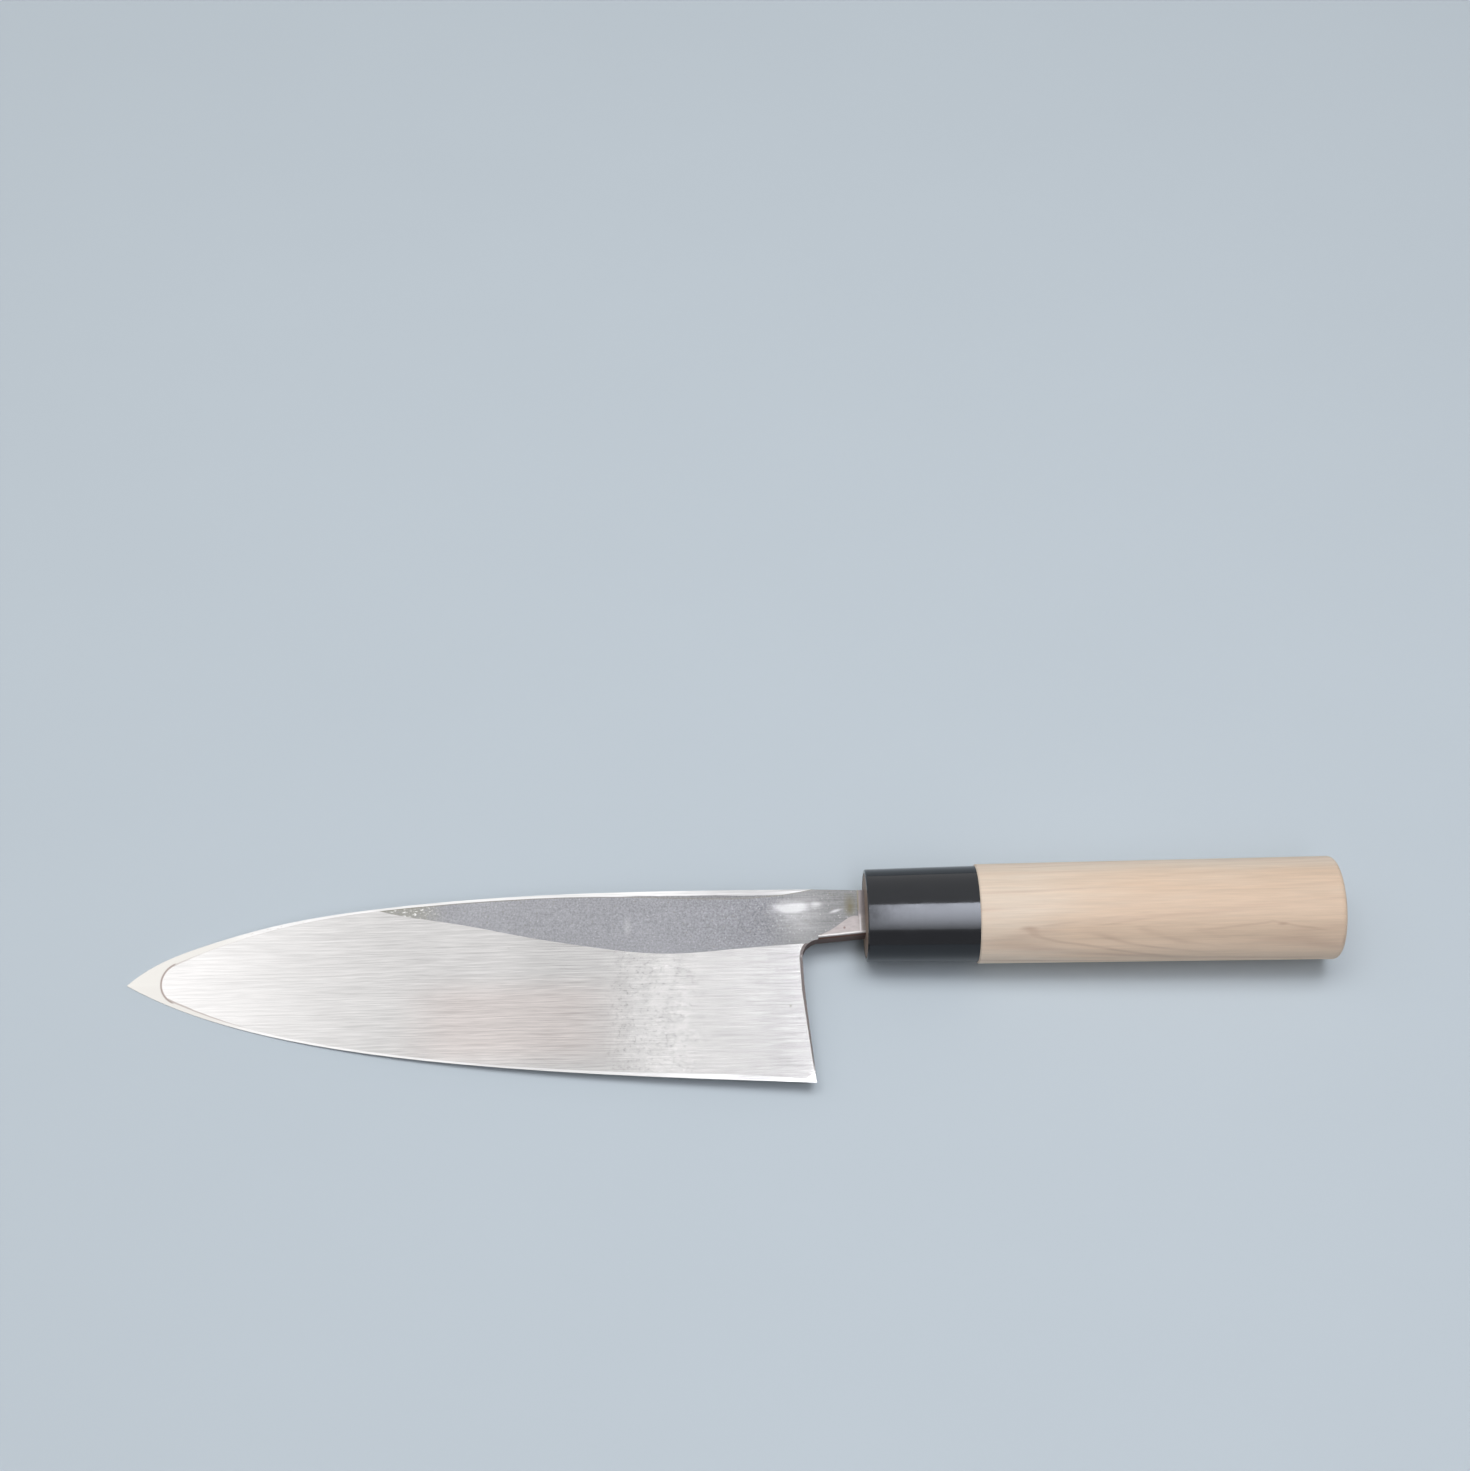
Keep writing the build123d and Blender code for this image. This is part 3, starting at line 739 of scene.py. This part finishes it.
class DebaLooks(bpy.types.PropertyGroup):
    """Colours and sizes of the finishes and the stage"""

    steel: colour("Steel", "Brushed hard steel", (0.62, 0.61, 0.605))
    steel_warm: colour("Warm Steel", "Steel with a faint pink bloom", (0.63, 0.585, 0.57))
    # Also the colour of painted highlights: the iron's glint and the bright arrises
    rim: colour("Rims", "Flat honed rims of the back", (0.76, 0.755, 0.75))
    rim_tip: colour("Rim at the Point", "Honed flat at the point, a little yellow", (0.65, 0.635, 0.605))
    # Also the painted shade of the hollow's step, and the colour of the crumbly specks
    nose_line: colour("Nose Line", "Line where the hollow ends near the point", (0.34, 0.29, 0.27))
    speck: colour("Specks", "Small rust specks", (0.16, 0.14, 0.12))
    iron: colour("Iron", "Grey soft iron beside the spine", (0.27, 0.272, 0.286))
    iron_neck: colour("Iron at the Neck", "Soft iron over the heel and at the neck", (0.27, 0.27, 0.268))
    iron_crust: colour("Iron Crust", "Yellowish start of the iron", (0.27, 0.26, 0.19))
    # Also the colour of painted shade lines along the hollow's border and at the neck's step
    stain: colour("Stain", "Greenish stain at the neck", (0.19, 0.175, 0.12))
    patch: colour("Neck Patch", "Unground patch of the neck", (0.268, 0.243, 0.234))
    patch_top: colour("Neck Strip", "Unground strip against the ferrule", (0.2, 0.18, 0.18))
    # Painted shade on the sides of neck and heel, and the colour of the neck patch's pits
    neck_shade_and_pits: colour("Neck Side", "Forged side of neck and heel", (0.125, 0.078, 0.065))
    # Painted shade on the heel's sides and its edge line
    heel_shade: colour("Heel Side", "Dark side of the heel", (0.08, 0.064, 0.06))
    ferrule: colour("Ferrule", "Black of the ferrule", (0.004, 0.004, 0.005))
    wood: colour("Wood", "Pale wood of the grip", (0.72, 0.607, 0.495))
    wood_warm: colour("Warm Wood", "Warmer parts of the wood", (0.705, 0.54, 0.405))
    wood_grain: colour("Grain", "Darker lines of the wood", (0.47, 0.33, 0.25))
    end_grain: colour("End Grain", "Wood across its grain, in the mouth", (0.3, 0.22, 0.17))
    resin: colour("Resin", "Bedding of the tang", (0.06, 0.035, 0.02))
    table: colour("Table", "Paint of the table", (0.515, 0.578, 0.624))
    backdrop: colour("Backdrop", "What the metal reflects of the room", (1.0, 1.0, 1.0))
    fill_light: colour("Fill", "Light of the room", (0.2, 0.2, 0.2))
    dark_side: colour("Dark Side", "What shiny pieces reflect of the low side of the room", (0.5, 0.5, 0.52))
    strip_glow: bpy.props.FloatProperty(
        name="Strip Box", description="Brightness of the strip box before the knife", default=9.5, min=0
    )
    panel_glow: bpy.props.FloatProperty(
        name="Side Panel", description="Brightness of the panel beyond the point", default=0.66, min=0
    )
    overhead_glow: bpy.props.FloatProperty(
        name="Overhead Lamp", description="Brightness of the lamp over the knife", default=5.5, min=0
    )
    table_width: bpy.props.FloatProperty(
        name="Table Width", description="Width of the square table", default=6.0, min=1, unit="LENGTH"
    )
    camera_lens: bpy.props.FloatProperty(
        name="Lens", description="Focal length of the camera", default=51.65, min=10, unit="CAMERA"
    )
    camera_shift: bpy.props.FloatProperty(
        name="Lens Shift", description="Sideways shift of the camera's lens", default=0.0514, subtype="FACTOR"
    )
    camera_place: bpy.props.FloatVectorProperty(
        name="Camera Place", description="Where the camera stands",
        default=(-0.017762, -0.184977, 0.522411), subtype="TRANSLATION", precision=5,
    )
    camera_turn: bpy.props.FloatVectorProperty(
        name="Camera Turn", description="How the camera is turned",
        default=tuple(math.radians(a) for a in (26.2690, 0.1982, -0.5239)), subtype="EULER",
    )


OPERATORS = (DEBA_OT_steel, DEBA_OT_iron, DEBA_OT_ferrule, DEBA_OT_handle, DEBA_OT_bedding, DEBA_OT_stage)


class DEBA_PT_panel(bpy.types.Panel):
    """Lists the finishes and the stage in the sidebar"""

    bl_label = "Deba Knife"
    bl_idname = "DEBA_PT_panel"
    bl_space_type = "VIEW_3D"
    bl_region_type = "UI"
    bl_category = "Deba"

    def draw(self, context):
        for operator in OPERATORS:
            self.layout.operator(operator.bl_idname)
        for name in DebaLooks.__annotations__:
            self.layout.prop(context.scene.deba_looks, name)


CLASSES = (DebaLooks, *OPERATORS, DEBA_PT_panel)


def register():
    for made in CLASSES:
        bpy.utils.register_class(made)
    bpy.types.Scene.deba_looks = bpy.props.PointerProperty(type=DebaLooks)


def unregister():
    del bpy.types.Scene.deba_looks
    for made in reversed(CLASSES):
        bpy.utils.unregister_class(made)


def main():
    register()
    bpy.ops.deba.steel()
    bpy.ops.deba.iron()
    bpy.ops.deba.ferrule()
    bpy.ops.deba.handle()
    bpy.ops.deba.bedding()
    bpy.ops.deba.stage()


if __name__ == "__main__":
    main()
